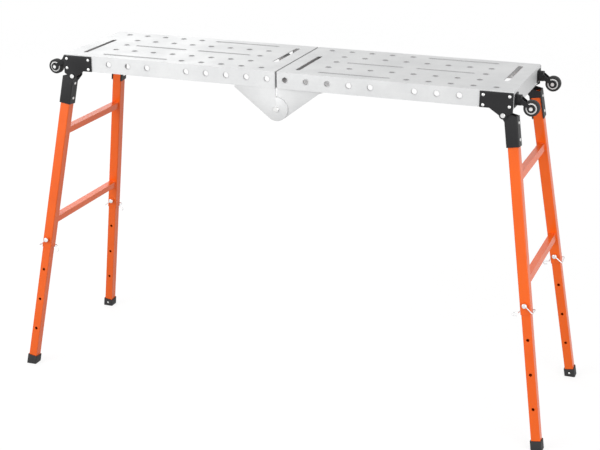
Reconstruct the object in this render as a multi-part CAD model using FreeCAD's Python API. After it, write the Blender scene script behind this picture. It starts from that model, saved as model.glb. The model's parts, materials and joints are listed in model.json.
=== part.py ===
"""Folding welding table: two perforated sheet panels on two folding, telescoping leg frames.

X runs along the table, Y across it from the front to the back, Z up from the floor under its middle.
"""
import FreeCAD
import Part
import math
import os

V = FreeCAD.Vector
X_AXIS = V(1, 0, 0)
Y_AXIS = V(0, 1, 0)
Z_AXIS = V(0, 0, 1)
ORIGIN = V(0, 0, 0)

# Shared clearances
OVERRUN = 5.0
RUNNING_GAP = 0.3
SHAFT_GAP = 0.05
PARALLEL_SHARE = 0.9
BOLT_CHAMFER_SHARE = 0.25

# Table top
TABLE_LENGTH = 1360.0
TABLE_WIDTH = 352.0
TABLE_HEIGHT = 996.0
SHEET = 2.0
APRON_DEPTH = 48.0
SEAM_GAP = 3.0
CORNER_RADIUS = 4.0

# Hole and slot pattern of one panel, measured from its middle
HOLE_DIAMETER = 16.0
HOLE_PITCH = 63.0
ROW_PITCH = 70.0
SLOT_WIDTH = 8.0
MIDDLE_ROW_HOLES = 8
EDGE_ROW_HOLES = 5
EDGE_ROW_START = 283.5
EDGE_SLOT_LENGTH = 208.0
EDGE_SLOT_OFFSET = 121.0
CENTRE_SLOT_LENGTH = 168.0
CENTRE_SLOT_OFFSET = 104.0
CROSS_SLOT_LENGTH = 196.0
CROSS_SLOT_WIDTH = 15.0
CROSS_SLOT_OFFSET = 38.0
CROSS_SLOT_PLACE = 291.0
APRON_HOLE_START = 27.5
APRON_HOLE_DROP = 22.0
APRON_HOLE_STEPS = (0, 1, 2, 3, 4, 6, 7, 8)

# Corner brackets that carry the leg pivots
BRACKET_SHEET = 3.0
BRACKET_WIDTH = 92.0
BRACKET_TOP_MARGIN = 3.0
BRACKET_NECK_INSET = 27.0
BRACKET_SKIRT = 9.0
PIVOT_INSET = 26.0
PIVOT_DROP = 17.5
PIVOT_BOLT_DIAMETER = 8.0
PIVOT_BOLT_HEAD = 13.0
PIVOT_BOLT_HEAD_HEIGHT = 4.0
PIVOT_NUT_WIDTH = 13.0
PIVOT_NUT_HEIGHT = 6.0
PIVOT_NUT_GAP = 2.0
RIVET_DIAMETER = 5.0
RIVET_HEAD_DIAMETER = 9.0
RIVET_HEAD_HEIGHT = 2.2
RIVET_TAIL = 1.5
RIVET_MARGIN = 10.0

# Leg frames
LEG_TUBE = 30.0
LEG_WALL = 1.5
LEG_CORNER = 3.0
LEG_LEAN_DEGREES = 8.6
LEG_SPLAY_DEGREES = 6.0
LEG_SIDE_GAP = 3.0
SOCKET_WALL = 3.0
SOCKET_TOP = 9.0
SOCKET_LENGTH = 82.0
SOCKET_EAR_RADIUS = 11.0
SOCKET_BRIDGE = 18.0
SOCKET_RIVET_TOP = 18.0
SOCKET_RIVET_PITCH = 46.0
LEG_TOP = 14.0
RUNG_TUBE = 20.0
RUNG_WALL = 1.5
UPPER_RUNG_DROP = 179.0
LOWER_RUNG_INSET = 90.0

# Telescoping lower legs and feet
TELESCOPE_GAP = 0.4
LOWER_LEG_WALL = 1.5
LOWER_LEG_LENGTH = 530.0
ADJUST_PITCH = 100.0
ADJUST_HOLES = 4
ADJUST_HOLE_DIAMETER = 9.0
LOWER_LEG_SHOWN = 393.0
PIN_INSET = 27.0
FOOT_WALL = 3.0
FOOT_HEIGHT = 27.0
FOOT_SOLE = 8.0

# Spring-wire lock pins
PIN_DIAMETER = 8.0
PIN_TRAVEL = 6.0
PIN_HEAD_DIAMETER = 14.0
PIN_HEAD_HEIGHT = 5.0
PIN_SEAT_GAP = 0.5
WIRE_DIAMETER = 3.0
WIRE_BEND = 4.0
WIRE_SIDE_GAP = 6.0
WIRE_BACK_GAP = 6.0
WIRE_FALL = 22.0
WIRE_FINGER = 24.0
WIRE_FINGER_RETURN = 12.0
WIRE_LOOP_DROP = 9.0
WIRE_FINGER_SETBACK = 8.0
WIRE_START_DROP = 2.0

# Centre hinge
HINGE_DROP = 61.0
HINGE_LEAF = 4.0
HINGE_LOBE_RADIUS = 35.0
HINGE_REACH = 128.0
HINGE_TOP_MARGIN = 32.0
HINGE_SHOULDER = 7.0
HINGE_RISE_DEGREES = 135.0
HINGE_BOLT_DIAMETER = 10.0
HINGE_BOLT_HEAD = 17.0
HINGE_BOLT_HEAD_HEIGHT = 5.0
HINGE_NUT_HEIGHT = 8.0

# Swivel casters on the end aprons
CASTER_SIDE = 147.0
CASTER_DROP = 27.0
CASTER_PLATE_WIDTH = 42.0
CASTER_PLATE_HEIGHT = 36.0
CASTER_PLATE = 2.5
CASTER_RACE_DIAMETER = 30.0
CASTER_RACE_HEIGHT = 10.0
CASTER_RACE_GAP = 0.4
CASTER_CROWN = 3.0
CASTER_REACH = 44.0
CASTER_TRAIL = 19.5
KINGPIN_DIAMETER = 8.0
FORK_SHEET = 2.5
FORK_GAP = 1.0
FORK_AXLE_MARGIN = 7.0
AXLE_DIAMETER = 6.0
AXLE_HEAD_DIAMETER = 10.0
AXLE_HEAD_HEIGHT = 2.0
WHEEL_DIAMETER = 44.0
WHEEL_WIDTH = 18.0
HUB_DIAMETER = 30.0
HUB_BOSS_DIAMETER = 14.0
HUB_DISH = 4.0
WHEEL_EDGE = 3.0

# Places worked out from the sizes above
HALF_LENGTH = TABLE_LENGTH / 2
HALF_WIDTH = TABLE_WIDTH / 2
PANEL_MIDDLE = (HALF_LENGTH + SEAM_GAP / 2) / 2
APRON_BOTTOM = TABLE_HEIGHT - APRON_DEPTH
PIVOT_X = HALF_LENGTH - PIVOT_INSET
PIVOT_Z = APRON_BOTTOM - PIVOT_DROP
HINGE_Z = APRON_BOTTOM - HINGE_DROP
SOCKET_SIZE = LEG_TUBE + 2 * SOCKET_WALL
LEG_OFFSET = SOCKET_SIZE / 2
LEG_SIDE = HALF_WIDTH - LEG_SIDE_GAP - SOCKET_SIZE / 2
LOWER_LEG_TUBE = LEG_TUBE - 2 * LEG_WALL - 2 * TELESCOPE_GAP
LEAN = math.radians(LEG_LEAN_DEGREES)
SPLAY = math.radians(LEG_SPLAY_DEGREES)
FLOOR_DROP = (PIVOT_Z + LEG_OFFSET * math.sin(LEAN)) / math.cos(LEAN)
LEG_REACH = FLOOR_DROP / math.cos(SPLAY)
OUTER_LEG_END = LEG_REACH - LOWER_LEG_SHOWN
PIN_DROP = OUTER_LEG_END - PIN_INSET
LOWER_RUNG_DROP = OUTER_LEG_END - LOWER_RUNG_INSET
LOWER_LEG_END = LEG_REACH - FOOT_SOLE
LOWER_LEG_TOP = LOWER_LEG_END - LOWER_LEG_LENGTH
PIN_HEAD_REST_GAP = PIN_TRAVEL + PIN_SEAT_GAP
CASTER_AXLE_X = HALF_LENGTH + CASTER_REACH
CASTER_Z = TABLE_HEIGHT - CASTER_DROP
LEAF_FACE = HALF_WIDTH - SHEET
LEAF_START = SEAM_GAP / 2 + CORNER_RADIUS
INNER_LEAF_FACE = LEAF_FACE - HINGE_LEAF - RUNNING_GAP

SIDES = {"left": -1, "right": 1}
ROWS = {"front": -1, "back": 1}


def box(x0, x1, y0, y1, z0, z1):
    """Box between two corners."""
    return Part.makeBox(x1 - x0, y1 - y0, z1 - z0, V(x0, y0, z0))


def rod(start, direction, diameter, length):
    """Round bar from a point along a direction."""
    return Part.makeCylinder(diameter / 2, length, start, direction)


def slot_cutter(length, width, height):
    """Upright slot with round ends, along X, around the origin."""
    run = length - width
    body = box(-run / 2, run / 2, -width / 2, width / 2, 0, height)
    ends = [Part.makeCylinder(width / 2, height, V(end * run / 2, 0, 0)) for end in (-1, 1)]
    return body.fuse(ends).removeSplitter()


def square_bar(size, top, bottom, corner):
    """Square bar with rounded long edges, hanging from z = -top to z = -bottom."""
    bar = box(-size / 2, size / 2, -size / 2, size / 2, -bottom, -top)
    if corner <= 0:
        return bar
    uprights = [edge for edge in bar.Edges if abs(edge.tangentAt(edge.FirstParameter).z) > PARALLEL_SHARE]
    return bar.makeFillet(corner, uprights)


def square_tube(size, wall, top, bottom, corner):
    """Square tube hanging from z = -top to z = -bottom."""
    inside = square_bar(size - 2 * wall, top - OVERRUN, bottom + OVERRUN, max(corner - wall, 0))
    return square_bar(size, top, bottom, corner).cut(inside)


def outline_plate(points, start_y, thickness):
    """Plate in the XZ plane; each point is (x, z), or a pair (through, end) that makes an arc."""
    edges = []
    last = V(points[0][0], start_y, points[0][1])
    for point in points[1:] + points[:1]:
        if isinstance(point[0], tuple):
            through, end = (V(p[0], start_y, p[1]) for p in point)
            edges.append(Part.Arc(last, through, end).toShape())
            last = end
        else:
            end = V(point[0], start_y, point[1])
            edges.append(Part.LineSegment(last, end).toShape())
            last = end
    return Part.Face(Part.Wire(edges)).extrude(V(0, thickness, 0))


def mirror_x(shape):
    """Mirror image across the middle of the table's length."""
    return shape.mirror(ORIGIN, X_AXIS)


def mirror_y(shape):
    """Mirror image across the middle of the table's width."""
    return shape.mirror(ORIGIN, Y_AXIS)


def placed(shape, side, row):
    """A piece drawn for the right back corner, put at any corner."""
    moved = shape if side > 0 else mirror_x(shape)
    return moved if row > 0 else mirror_y(moved)


def leg_to_frame(shape, row):
    """Tilt a piece drawn round an upright leg axis to the leg's splay in its frame."""
    moved = shape.copy()
    moved.rotate(ORIGIN, X_AXIS, row * LEG_SPLAY_DEGREES)
    moved.translate(V(LEG_OFFSET, row * LEG_SIDE, 0))
    return moved


def frame_to_table(shape, side):
    """Lean a piece drawn in an upright frame, x outwards from the pivot, and hang it on the table."""
    moved = shape.copy()
    moved.rotate(ORIGIN, Y_AXIS, -LEG_LEAN_DEGREES)
    moved.translate(V(PIVOT_X, 0, PIVOT_Z))
    return moved if side > 0 else mirror_x(moved)


def leg_to_table(shape, side, row):
    """Put a piece drawn round an upright leg axis at its corner of the table."""
    return frame_to_table(leg_to_frame(shape, row), side)


def edge_row(sign):
    """Holes and slot of the row along one edge; the two edges are point images of each other."""
    places = [sign * (k * HOLE_PITCH - EDGE_ROW_START) for k in range(EDGE_ROW_HOLES)]
    return places, sign * EDGE_SLOT_OFFSET


def top_cutters():
    """Fixture holes and clamp slots of one panel, round the panel's middle at the top surface."""
    height = SHEET + 2 * OVERRUN
    hole = Part.makeCylinder(HOLE_DIAMETER / 2, height)
    edge_slot = slot_cutter(EDGE_SLOT_LENGTH, SLOT_WIDTH, height)
    centre_slot = slot_cutter(CENTRE_SLOT_LENGTH, SLOT_WIDTH, height)
    cross_slot = slot_cutter(CROSS_SLOT_LENGTH, CROSS_SLOT_WIDTH, height)
    cross_slot.rotate(ORIGIN, Z_AXIS, 90)
    middle_row = [(k - (MIDDLE_ROW_HOLES - 1) / 2) * HOLE_PITCH for k in range(MIDDLE_ROW_HOLES)]
    cutters = []
    for sign in (-1, 1):
        edge_holes, edge_slot_x = edge_row(sign)
        edge_y = sign * 2 * ROW_PITCH
        cutters += [hole.translated(V(x, edge_y, 0)) for x in edge_holes]
        cutters.append(edge_slot.translated(V(edge_slot_x, edge_y, 0)))
        cutters += [hole.translated(V(x, sign * ROW_PITCH, 0)) for x in middle_row]
        cutters.append(hole.translated(V(sign * middle_row[-1], 0, 0)))
        cutters.append(centre_slot.translated(V(sign * CENTRE_SLOT_OFFSET, 0, 0)))
        cutters.append(cross_slot.translated(V(sign * CROSS_SLOT_PLACE, sign * CROSS_SLOT_OFFSET, 0)))
    return cutters


def bracket_rivet_places():
    """Rivet places (x, z) of the right hand bracket."""
    inner = HALF_LENGTH - BRACKET_WIDTH + RIVET_MARGIN
    outer = HALF_LENGTH - RIVET_MARGIN
    upper = TABLE_HEIGHT - BRACKET_TOP_MARGIN - RIVET_MARGIN
    lower = APRON_BOTTOM + RIVET_MARGIN - BRACKET_TOP_MARGIN
    return [(inner, upper), (outer, upper), (inner, lower), (outer, lower)]


def rivet_bores(places, start_y, length):
    """Bores for rivets that run along Y."""
    return [rod(V(x, start_y, z), Y_AXIS, RIVET_DIAMETER + 2 * SHAFT_GAP, length) for x, z in places]


def panel(side):
    """Folded pan drawn at the right; the left one is mirrored later, and its pattern runs the same way."""
    left = SEAM_GAP / 2
    outer = box(left, HALF_LENGTH, -HALF_WIDTH, HALF_WIDTH, APRON_BOTTOM, TABLE_HEIGHT)
    corners = [e for e in outer.Edges if abs(e.tangentAt(e.FirstParameter).z) > PARALLEL_SHARE]
    outer = outer.makeFillet(CORNER_RADIUS, corners)
    hollow = box(left + SHEET, HALF_LENGTH - SHEET, SHEET - HALF_WIDTH, HALF_WIDTH - SHEET,
                 APRON_BOTTOM - OVERRUN, TABLE_HEIGHT - SHEET)
    inner_corners = [e for e in hollow.Edges if abs(e.tangentAt(e.FirstParameter).z) > PARALLEL_SHARE]
    pan = outer.cut(hollow.makeFillet(CORNER_RADIUS - SHEET, inner_corners))
    shift = V(PANEL_MIDDLE, 0, TABLE_HEIGHT - SHEET - OVERRUN)
    pattern = top_cutters() if side > 0 else [mirror_x(cutter) for cutter in top_cutters()]
    cutters = [cutter.translated(shift) for cutter in pattern]
    across = TABLE_WIDTH + 2 * OVERRUN
    apron_z = TABLE_HEIGHT - APRON_HOLE_DROP
    for step in APRON_HOLE_STEPS:
        start = V(APRON_HOLE_START + step * HOLE_PITCH, -across / 2, apron_z)
        cutters.append(rod(start, Y_AXIS, HOLE_DIAMETER, across))
    cutters += rivet_bores(bracket_rivet_places(), -across / 2, across)
    return pan.cut(cutters)


def corner_bracket():
    """Plate on the outside of the apron at the right back corner, with a neck down to the leg pivot."""
    inner = HALF_LENGTH - BRACKET_WIDTH
    top = TABLE_HEIGHT - BRACKET_TOP_MARGIN
    radius = SOCKET_EAR_RADIUS
    points = [(inner, top), (HALF_LENGTH, top), (HALF_LENGTH, APRON_BOTTOM - BRACKET_SKIRT),
              (PIVOT_X + radius, PIVOT_Z),
              ((PIVOT_X, PIVOT_Z - radius), (PIVOT_X - radius, PIVOT_Z)),
              (inner + BRACKET_NECK_INSET, APRON_BOTTOM), (inner, APRON_BOTTOM)]
    plate = outline_plate(points, HALF_WIDTH, BRACKET_SHEET)
    bores = rivet_bores(bracket_rivet_places(), HALF_WIDTH - OVERRUN, BRACKET_SHEET + 2 * OVERRUN)
    bores.append(rod(V(PIVOT_X, HALF_WIDTH - OVERRUN, PIVOT_Z), Y_AXIS, PIVOT_BOLT_DIAMETER + 2 * SHAFT_GAP,
                     BRACKET_SHEET + 2 * OVERRUN))
    return plate.cut(bores)


def rivet(x, z, face_y, grip):
    """Domed rivet through a grip behind an outer face at y = face_y, along Y."""
    head = Part.makeCone(RIVET_HEAD_DIAMETER / 2, RIVET_DIAMETER / 2, RIVET_HEAD_HEIGHT,
                         V(x, face_y, z), Y_AXIS)
    shank = rod(V(x, face_y - grip, z), Y_AXIS, RIVET_DIAMETER, grip)
    tail_start = V(x, face_y - grip - RIVET_TAIL, z)
    tail = rod(tail_start, Y_AXIS, (RIVET_HEAD_DIAMETER + RIVET_DIAMETER) / 2, RIVET_TAIL)
    return head.fuse([shank, tail]).removeSplitter()


def bracket_rivets():
    """Rivets of the right back bracket."""
    face = HALF_WIDTH + BRACKET_SHEET
    return [rivet(x, z, face, BRACKET_SHEET + SHEET) for x, z in bracket_rivet_places()]


def pivot_bolt():
    """Leg pivot bolt at the right back corner, with its head outside and its nut inside."""
    outside = HALF_WIDTH + BRACKET_SHEET
    inside = LEG_SIDE - SOCKET_SIZE / 2 - PIVOT_NUT_GAP
    tail = inside - PIVOT_NUT_HEIGHT
    shank = rod(V(PIVOT_X, tail, PIVOT_Z), Y_AXIS, PIVOT_BOLT_DIAMETER, outside - tail)
    head = rod(V(PIVOT_X, outside, PIVOT_Z), Y_AXIS, PIVOT_BOLT_HEAD, PIVOT_BOLT_HEAD_HEIGHT)
    rim = [e for e in head.Edges if e.BoundBox.YMin > outside]
    head = head.makeChamfer(PIVOT_BOLT_HEAD_HEIGHT * BOLT_CHAMFER_SHARE, rim)
    nut = hexagon(PIVOT_NUT_WIDTH, PIVOT_X, PIVOT_Z, tail, PIVOT_NUT_HEIGHT)
    return shank.fuse([head, nut]).removeSplitter()


def hexagon(width, x, z, start_y, height):
    """Hexagonal nut along Y, by its width across flats."""
    radius = width / 2 / math.cos(math.pi / 6)
    turns = [k * math.pi / 3 for k in range(6)]
    points = [(x + radius * math.cos(a), z + radius * math.sin(a)) for a in turns]
    return outline_plate(points, start_y, height)


def leg_socket(side, row):
    """Channel round the top of a leg, open towards the other leg, with two ears on the pivot bolt."""
    bottom = SOCKET_TOP + SOCKET_LENGTH
    sleeve = square_bar(SOCKET_SIZE, SOCKET_TOP, bottom, LEG_CORNER)
    sleeve = sleeve.cut(square_bar(LEG_TUBE, LEG_TOP, bottom + OVERRUN, LEG_CORNER))
    sleeve = sleeve.cut(square_bar(LEG_TUBE, SOCKET_TOP - OVERRUN, LEG_TOP + OVERRUN, LEG_CORNER))
    radius = SOCKET_EAR_RADIUS
    inner = -SOCKET_SIZE / 2
    points = [(inner - radius, 0), ((inner, radius), (inner + radius, 0)),
              (SOCKET_SIZE / 2 - LEG_CORNER, -SOCKET_TOP), (SOCKET_SIZE / 2 - LEG_CORNER, -LEG_TOP),
              (inner + LEG_CORNER, -LEG_TOP - radius)]
    ears = [outline_plate(points, face, SOCKET_WALL)
            for face in (-SOCKET_SIZE / 2, SOCKET_SIZE / 2 - SOCKET_WALL)]
    window_sides = sorted((0, -row * SOCKET_SIZE))
    window = box(-LEG_TUBE / 2, LEG_TUBE / 2, *window_sides, -bottom - OVERRUN, -SOCKET_TOP - SOCKET_BRIDGE)
    fitting = sleeve.fuse(ears).removeSplitter().cut(window)
    bores = [rod(V(-SOCKET_SIZE, 0, -drop), X_AXIS, RIVET_DIAMETER + 2 * SHAFT_GAP, 2 * SOCKET_SIZE)
             for drop in socket_rivet_drops()]
    fitting = leg_to_frame(fitting.cut(bores), row)
    pivot = rod(V(0, -TABLE_WIDTH, 0), Y_AXIS, PIVOT_BOLT_DIAMETER + 2 * SHAFT_GAP, 2 * TABLE_WIDTH)
    return frame_to_table(fitting.cut(pivot), side)


def socket_rivet_drops():
    """How far down the leg the two socket rivets lie."""
    first = SOCKET_TOP + SOCKET_RIVET_TOP
    return (first, first + SOCKET_RIVET_PITCH)


def socket_rivets(side):
    """Rivets that hold one frame's legs in their sockets, through the outer and inner walls."""
    rivets = []
    grip = SOCKET_WALL + LEG_WALL
    face = SOCKET_SIZE / 2
    for drop in socket_rivet_drops():
        head = Part.makeCone(RIVET_HEAD_DIAMETER / 2, RIVET_DIAMETER / 2, RIVET_HEAD_HEIGHT,
                             V(face, 0, -drop), X_AXIS)
        shank = rod(V(face - grip, 0, -drop), X_AXIS, RIVET_DIAMETER, grip)
        outer = head.fuse(shank).removeSplitter()
        for row in ROWS.values():
            rivets += [leg_to_table(wall, side, row) for wall in (outer, mirror_x(outer))]
    return Part.makeCompound(rivets)


def outer_leg(side, row):
    """Upper leg tube, with the hole for its lock pin in the front wall."""
    tube = square_tube(LEG_TUBE, LEG_WALL, LEG_TOP, OUTER_LEG_END, LEG_CORNER)
    bores = [rod(V(-LEG_TUBE, 0, -drop), X_AXIS, RIVET_DIAMETER + 2 * SHAFT_GAP, 2 * LEG_TUBE)
             for drop in socket_rivet_drops()]
    bores.append(rod(V(0, -LEG_TUBE, -PIN_DROP), Y_AXIS, PIN_DIAMETER + 2 * SHAFT_GAP, LEG_TUBE))
    return leg_to_table(tube.cut(bores), side, row)


def rung(side, drop):
    """Cross tube between the two legs of a frame, cut to their inner faces."""
    reach = LEG_SIDE + LEG_OFFSET + drop * math.tan(SPLAY)
    half = RUNG_TUBE / 2
    hollow = half - RUNG_WALL
    bar = box(LEG_OFFSET - half, LEG_OFFSET + half, -reach, reach, -drop - half, half - drop)
    bore = box(LEG_OFFSET - hollow, LEG_OFFSET + hollow, -reach - OVERRUN, reach + OVERRUN,
               -drop - hollow, hollow - drop)
    leg = square_bar(LEG_TUBE, LEG_TOP, OUTER_LEG_END, LEG_CORNER)
    legs = [leg_to_frame(leg, row) for row in ROWS.values()]
    shell = bar.cut(bore).cut(legs)
    middle = max(shell.Solids, key=lambda solid: solid.Volume)
    return frame_to_table(middle, side)


def lower_leg(side, row):
    """Telescoping lower leg with its row of adjusting holes, front to back."""
    tube = square_tube(LOWER_LEG_TUBE, LOWER_LEG_WALL, LOWER_LEG_TOP, LOWER_LEG_END, LEG_CORNER - LEG_WALL)
    bores = [rod(V(0, -LEG_TUBE, -PIN_DROP - k * ADJUST_PITCH), Y_AXIS, ADJUST_HOLE_DIAMETER, 2 * LEG_TUBE)
             for k in range(ADJUST_HOLES)]
    return leg_to_table(tube.cut(bores), side, row)


def foot_cap(side, row):
    """Moulded foot pushed over the end of a lower leg, its sole level with the floor."""
    size = LOWER_LEG_TUBE + 2 * FOOT_WALL
    top = LOWER_LEG_END + FOOT_SOLE - FOOT_HEIGHT
    cap = square_bar(size, top, LEG_REACH + size, LEG_CORNER)
    cap = cap.cut(square_bar(LOWER_LEG_TUBE, top - OVERRUN, LOWER_LEG_END, LEG_CORNER - LEG_WALL))
    cap = leg_to_table(cap, side, row)
    span = TABLE_LENGTH + TABLE_HEIGHT
    return cap.cut(box(-span, span, -span, span, -span, 0))


def bent_wire(points, bend):
    """Path of straight runs through the points, with tangent arcs at the corners."""
    edges = []
    start = points[0]
    for before, corner, after in zip(points, points[1:], points[2:]):
        to_before = (before - corner).normalize()
        to_after = (after - corner).normalize()
        half_turn = (math.pi - to_before.getAngle(to_after)) / 2
        reach = bend * math.tan(half_turn)
        first = corner + to_before * reach
        last = corner + to_after * reach
        inward = (to_before + to_after).normalize()
        middle = corner + inward * (bend / math.cos(half_turn) - bend)
        edges.append(Part.LineSegment(start, first).toShape())
        edges.append(Part.Arc(first, middle, last).toShape())
        start = last
    edges.append(Part.LineSegment(start, points[-1]).toShape())
    return Part.Wire(edges)


def pin_wire_points():
    """Corners of the spring wire, from the pin's head round the outside of the leg to the finger loop."""
    face = LEG_TUBE / 2
    front = -face - PIN_HEAD_REST_GAP - PIN_HEAD_HEIGHT / 2
    outside = face + WIRE_SIDE_GAP
    back = face + WIRE_BACK_GAP
    level = -PIN_DROP - WIRE_FALL
    finger = -face - WIRE_FINGER
    loop = level - WIRE_LOOP_DROP
    edge = -WIRE_FINGER_SETBACK
    return [V(PIN_HEAD_DIAMETER / 2 - WIRE_DIAMETER, front, -PIN_DROP - WIRE_START_DROP),
            V(outside, front, level), V(outside, back, level), V(-outside, back, level),
            V(-outside, edge, level), V(finger, edge, level), V(finger, edge, loop),
            V(finger + WIRE_FINGER_RETURN, edge, loop)]


def lock_pin(side, row):
    """Spring-wire lock pin, drawn back from the lower leg, with its wire sprung round the leg."""
    face = -LEG_TUBE / 2
    head_back = face - PIN_HEAD_REST_GAP
    shank = rod(V(0, head_back, -PIN_DROP), Y_AXIS, PIN_DIAMETER, PIN_HEAD_REST_GAP + LEG_WALL)
    dome = rod(V(0, head_back - PIN_HEAD_HEIGHT, -PIN_DROP), Y_AXIS, PIN_HEAD_DIAMETER, PIN_HEAD_HEIGHT)
    rim = [e for e in dome.Edges if e.BoundBox.YMax < head_back - PIN_HEAD_HEIGHT / 2]
    dome = dome.makeFillet(PIN_HEAD_HEIGHT / 2, rim)
    points = pin_wire_points()
    path = bent_wire(points, WIRE_BEND)
    along = (points[1] - points[0]).normalize()
    profile = Part.Wire(Part.Circle(points[0], along, WIRE_DIAMETER / 2).toShape())
    wire = path.makePipeShell([profile], True, False)
    return leg_to_table(shank.fuse([dome, wire]).removeSplitter(), side, row)


def hinge_leaf(inner):
    """Leaf of the right hand half at the back, with its lobe round the centre pivot.

    It is notched round the pan's end wall. The inner leaf stands in from the apron by one leaf and has a
    pad that carries it there.
    """
    face = INNER_LEAF_FACE if inner else LEAF_FACE
    top = TABLE_HEIGHT - HINGE_TOP_MARGIN
    shoulder = APRON_BOTTOM - HINGE_SHOULDER
    radius = HINGE_LOBE_RADIUS
    lean = math.atan2(HINGE_Z - shoulder, HINGE_REACH)
    reach = math.hypot(HINGE_REACH, shoulder - HINGE_Z)
    tangent = -lean - math.acos(radius / reach)
    touch = (radius * math.cos(tangent), HINGE_Z + radius * math.sin(tangent))
    low = (0, HINGE_Z - radius)
    far = (-radius, HINGE_Z)
    crown = (0, HINGE_Z + radius)
    turn = math.radians(HINGE_RISE_DEGREES)
    rise = (radius * math.cos(turn), HINGE_Z + radius * math.sin(turn))
    edge = SEAM_GAP / 2
    step = APRON_BOTTOM - RUNNING_GAP
    points = [(LEAF_START, top), (HINGE_REACH, top), (HINGE_REACH, shoulder), touch,
              (low, far), (rise, crown), (edge, HINGE_Z + radius), (edge, step), (LEAF_START, step)]
    leaf = outline_plate(points, face - HINGE_LEAF, HINGE_LEAF)
    if inner:
        pad = box(LEAF_START, HINGE_REACH, face, LEAF_FACE, APRON_BOTTOM, top)
        leaf = leaf.fuse(pad).removeSplitter()
    return leaf.cut(rod(V(0, 0, HINGE_Z), Y_AXIS, HINGE_BOLT_DIAMETER + 2 * SHAFT_GAP, HALF_WIDTH))


def hinge_bolts():
    """The two centre pivot bolts, each with its head outside and its nut inside."""
    tail = INNER_LEAF_FACE - HINGE_LEAF - RUNNING_GAP - HINGE_NUT_HEIGHT
    shank = rod(V(0, tail, HINGE_Z), Y_AXIS, HINGE_BOLT_DIAMETER, LEAF_FACE - tail)
    head = rod(V(0, LEAF_FACE, HINGE_Z), Y_AXIS, HINGE_BOLT_HEAD, HINGE_BOLT_HEAD_HEIGHT)
    rim = [e for e in head.Edges if e.BoundBox.YMin > LEAF_FACE]
    head = head.makeChamfer(HINGE_BOLT_HEAD_HEIGHT * BOLT_CHAMFER_SHARE, rim)
    nut = hexagon(HINGE_BOLT_HEAD, 0, HINGE_Z, tail, HINGE_NUT_HEIGHT)
    bolt = shank.fuse([head, nut]).removeSplitter()
    return Part.makeCompound([bolt, mirror_y(bolt)])


def caster_mounts():
    """The two swivel bases on the right hand end apron."""
    start = HALF_LENGTH
    half_height = CASTER_PLATE_HEIGHT / 2
    half_width = CASTER_PLATE_WIDTH / 2
    plate = box(start, start + CASTER_PLATE, CASTER_SIDE - half_width, CASTER_SIDE + half_width,
                CASTER_Z - half_height, CASTER_Z + half_height)
    corners = [e for e in plate.Edges if abs(e.tangentAt(e.FirstParameter).x) > PARALLEL_SHARE]
    plate = plate.makeFillet(CORNER_RADIUS, corners)
    centre = V(start, CASTER_SIDE, CASTER_Z)
    race = rod(centre, X_AXIS, CASTER_RACE_DIAMETER, CASTER_PLATE + CASTER_RACE_HEIGHT)
    bore = rod(centre, X_AXIS, KINGPIN_DIAMETER + 2 * SHAFT_GAP, CASTER_PLATE + CASTER_RACE_HEIGHT + OVERRUN)
    base = plate.fuse(race).removeSplitter().cut(bore)
    return Part.makeCompound([base, mirror_y(base)])


def caster_fork():
    """Swivel fork of the right back caster, trailing downwards, with its kingpin."""
    crown_start = HALF_LENGTH + CASTER_PLATE + CASTER_RACE_HEIGHT + CASTER_RACE_GAP
    inside = WHEEL_WIDTH / 2 + FORK_GAP
    crown = rod(V(crown_start, CASTER_SIDE, CASTER_Z), X_AXIS, CASTER_RACE_DIAMETER, CASTER_CROWN)
    kingpin = rod(V(HALF_LENGTH + RUNNING_GAP, CASTER_SIDE, CASTER_Z), X_AXIS, KINGPIN_DIAMETER,
                  crown_start - HALF_LENGTH)
    axle_z = CASTER_Z - CASTER_TRAIL
    nose = FORK_AXLE_MARGIN
    half = CASTER_RACE_DIAMETER / 2
    points = [(crown_start, CASTER_Z + half - nose), (crown_start + CASTER_CROWN, CASTER_Z + half - nose),
              (CASTER_AXLE_X + nose, axle_z),
              ((CASTER_AXLE_X, axle_z - nose), (CASTER_AXLE_X - nose, axle_z)),
              (crown_start, CASTER_Z - half + nose)]
    cheeks = [outline_plate(points, CASTER_SIDE + y, FORK_SHEET) for y in (inside, -inside - FORK_SHEET)]
    axle_bore = rod(V(CASTER_AXLE_X, CASTER_SIDE - WHEEL_WIDTH, axle_z), Y_AXIS,
                    AXLE_DIAMETER + 2 * SHAFT_GAP, 2 * WHEEL_WIDTH)
    return crown.fuse([kingpin] + cheeks).removeSplitter().cut(axle_bore)


def caster_axle():
    """Riveted axle across the fork of the right back caster."""
    reach = WHEEL_WIDTH / 2 + FORK_GAP + FORK_SHEET
    axle_z = CASTER_Z - CASTER_TRAIL
    shank = rod(V(CASTER_AXLE_X, CASTER_SIDE - reach, axle_z), Y_AXIS, AXLE_DIAMETER, 2 * reach)
    heads = [rod(V(CASTER_AXLE_X, CASTER_SIDE + y, axle_z), Y_AXIS, AXLE_HEAD_DIAMETER, AXLE_HEAD_HEIGHT)
             for y in (reach, -reach - AXLE_HEAD_HEIGHT)]
    return shank.fuse(heads).removeSplitter()


def turned(profile):
    """Solid turned round the right back caster's axle from (radius, y) points."""
    points = [V(CASTER_AXLE_X + r, CASTER_SIDE + y, CASTER_Z - CASTER_TRAIL) for r, y in profile]
    face = Part.Face(Part.makePolygon(points + points[:1]))
    return face.revolve(V(CASTER_AXLE_X, CASTER_SIDE, CASTER_Z - CASTER_TRAIL), Y_AXIS, 360)


def wheel_hub():
    """Hub with a dished web on each side and a running bore."""
    bore = AXLE_DIAMETER / 2 + SHAFT_GAP
    boss = HUB_BOSS_DIAMETER / 2
    rim = HUB_DIAMETER / 2
    half = WHEEL_WIDTH / 2
    web = half - HUB_DISH
    lip = rim - WHEEL_EDGE
    return turned([(bore, half), (boss, half), (boss, web), (lip, web), (lip, half), (rim, half),
                   (rim, -half), (lip, -half), (lip, -web), (boss, -web), (boss, -half), (bore, -half)])


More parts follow.
